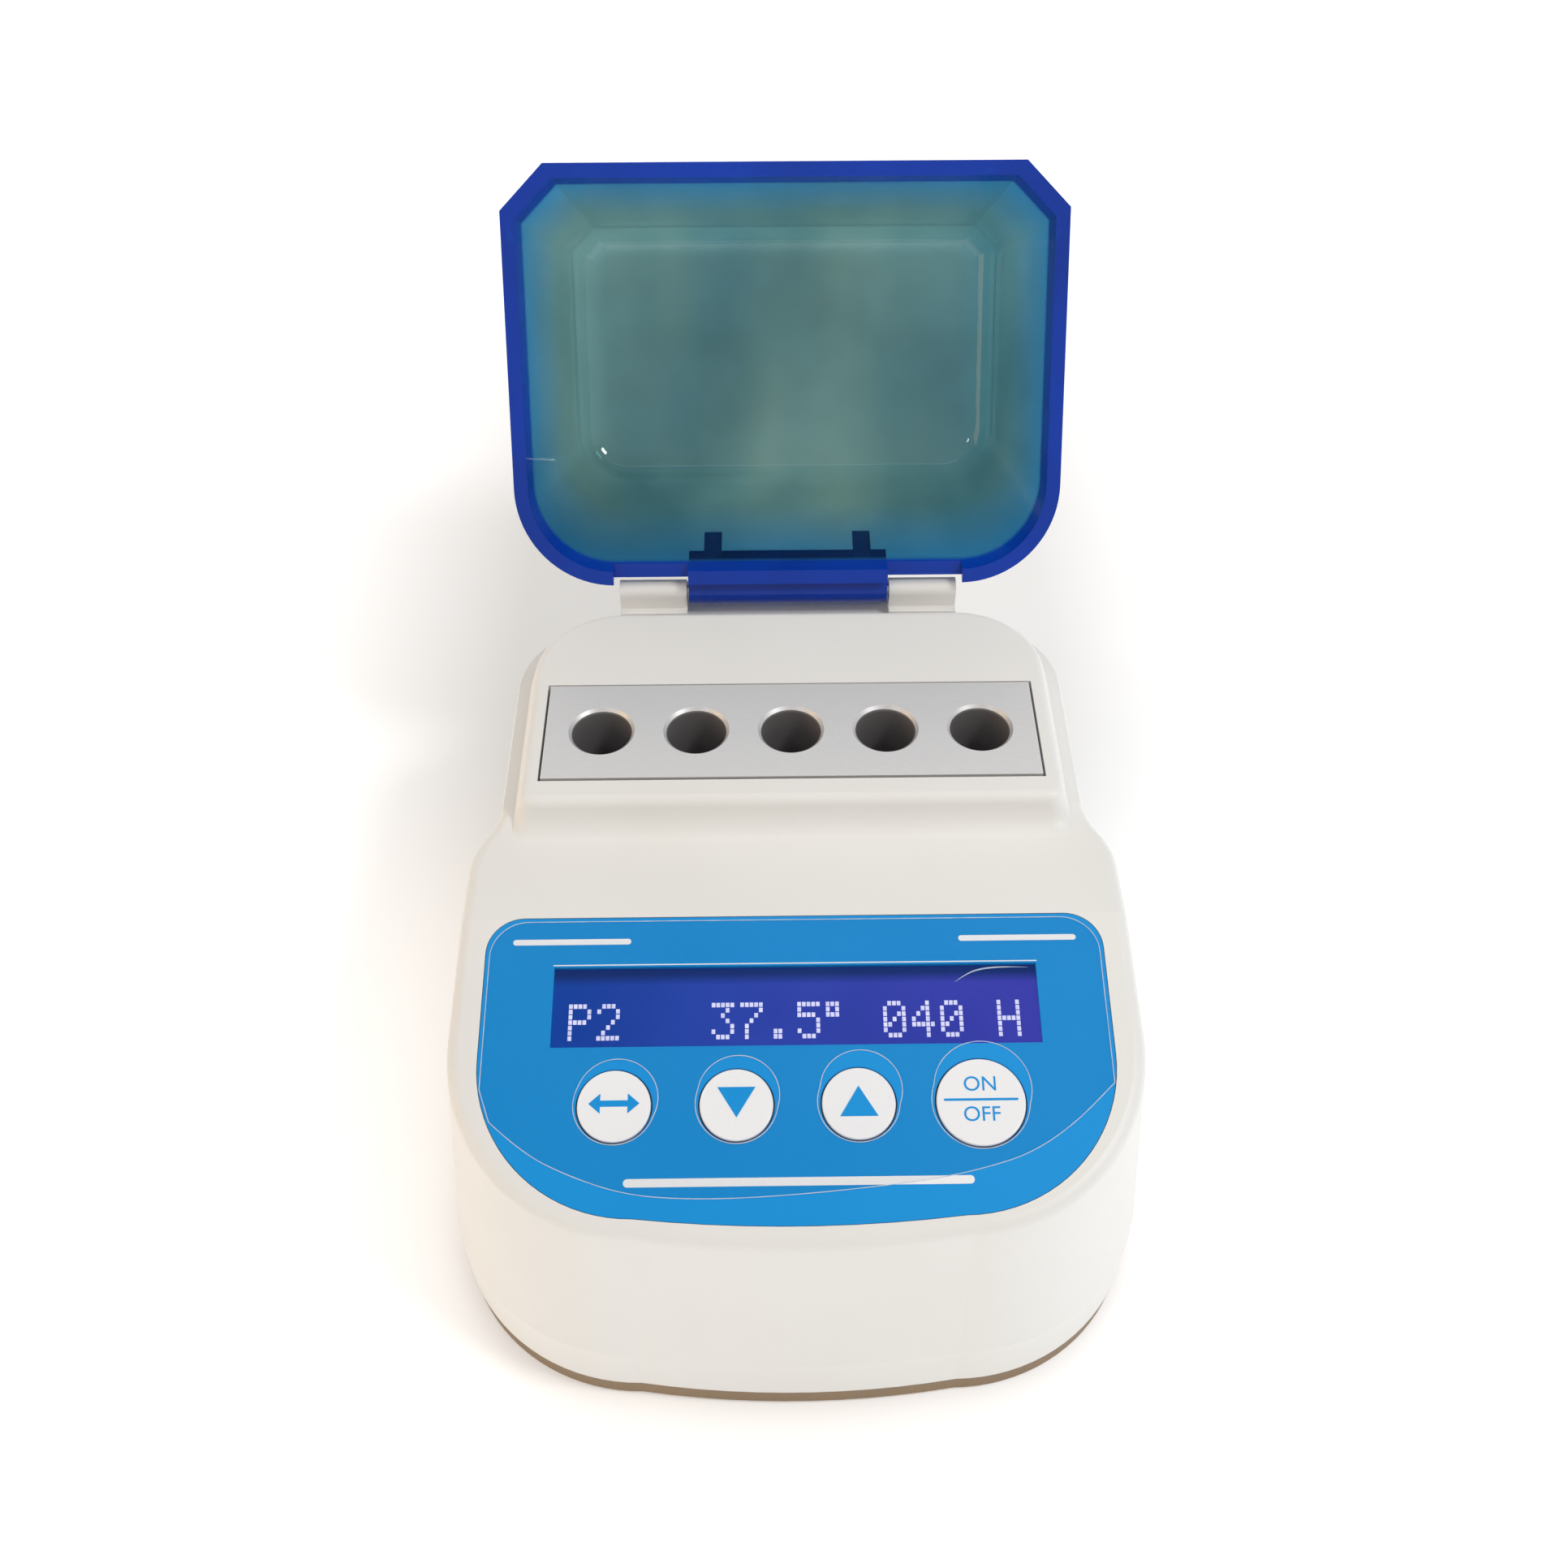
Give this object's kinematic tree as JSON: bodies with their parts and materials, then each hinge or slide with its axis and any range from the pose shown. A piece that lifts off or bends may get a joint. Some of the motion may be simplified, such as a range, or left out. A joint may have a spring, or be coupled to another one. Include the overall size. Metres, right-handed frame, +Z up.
{
  "type": "dry block heater",
  "caption": "Compact bench heater with a metal block of tube wells, a sloping key panel with a character display and a hinged clear cover.",
  "frame": {"origin": "on the table, under the middle of the whole heater with its cover open", "axes": "+X to the user's right, +Y to the back, +Z up"},
  "size_m": [0.154, 0.2508, 0.1731],
  "materials": {
    "case": "fine moulded texture",
    "tray": "fine moulded texture",
    "rubber": "matt",
    "steel": "plain",
    "block": "satin anodised",
    "heater": "silicone",
    "wool": "felted fibre",
    "brass": "plain",
    "dark_plastic": "fine texture",
    "panel": "printed polyester",
    "display": "polished",
    "key_white": "satin",
    "board": "solder mask",
    "cover": "clear tinted"
  },
  "bodies": {
    "base": {"upper_housing": "case", "lower_housing": "tray", "foot_front_left": "rubber", "foot_front_right": "rubber", "foot_rear_left": "rubber", "foot_rear_right": "rubber", "case_screws": "steel", "heating_block": "block", "heat_spreader": "block", "heater_plate": "heater", "block_insulation": "wool", "block_cradle": "steel", "cradle_posts": "brass", "temperature_probe": "steel", "thermal_cutout": "dark_plastic", "panel_overlay": "panel", "display_frame": "dark_plastic", "display_glass": "display", "display_backlight": "key_white", "display_board": "board", "key_board": "board", "key_switches": "dark_plastic", "supply_board": "board", "supply_posts": "brass", "supply_transformer": "dark_plastic", "supply_capacitor": "dark_plastic", "heater_triac": "dark_plastic", "power_inlet": "dark_plastic", "inlet_pins": "brass", "power_switch_body": "dark_plastic", "hinge_pin": "steel"},
    "cover": {"cover": "cover"},
    "key_menu": {"key_menu": "key_white"},
    "key_down": {"key_down": "key_white"},
    "key_up": {"key_up": "key_white"},
    "key_start": {"key_start": "key_white"},
    "power_rocker": {"power_rocker": "dark_plastic"}
  },
  "joints": [
    {"name": "cover_hinge", "type": "hinge", "parent": "base", "child": "cover", "pos_m": [0, 0.05037, 0.0829], "axis": [1, 0, 0], "range_deg": [0, 121]},
    {"name": "key_menu_press", "type": "slide", "parent": "base", "child": "key_menu", "axis": [0, 0.2419, -0.9703], "range_m": [0, 0.0008], "stiffness_N_per_m": 2500},
    {"name": "key_down_press", "type": "slide", "parent": "base", "child": "key_down", "axis": [0, 0.2419, -0.9703], "range_m": [0, 0.0008], "stiffness_N_per_m": 2500},
    {"name": "key_up_press", "type": "slide", "parent": "base", "child": "key_up", "axis": [0, 0.2419, -0.9703], "range_m": [0, 0.0008], "stiffness_N_per_m": 2500},
    {"name": "key_start_press", "type": "slide", "parent": "base", "child": "key_start", "axis": [0, 0.2419, -0.9703], "range_m": [0, 0.0008], "stiffness_N_per_m": 2500},
    {"name": "power_switch", "type": "hinge", "parent": "base", "child": "power_rocker", "pos_m": [0.021, 0.04607, 0.036], "axis": [1, 0, 0], "range_deg": [0, 20]}
  ]
}
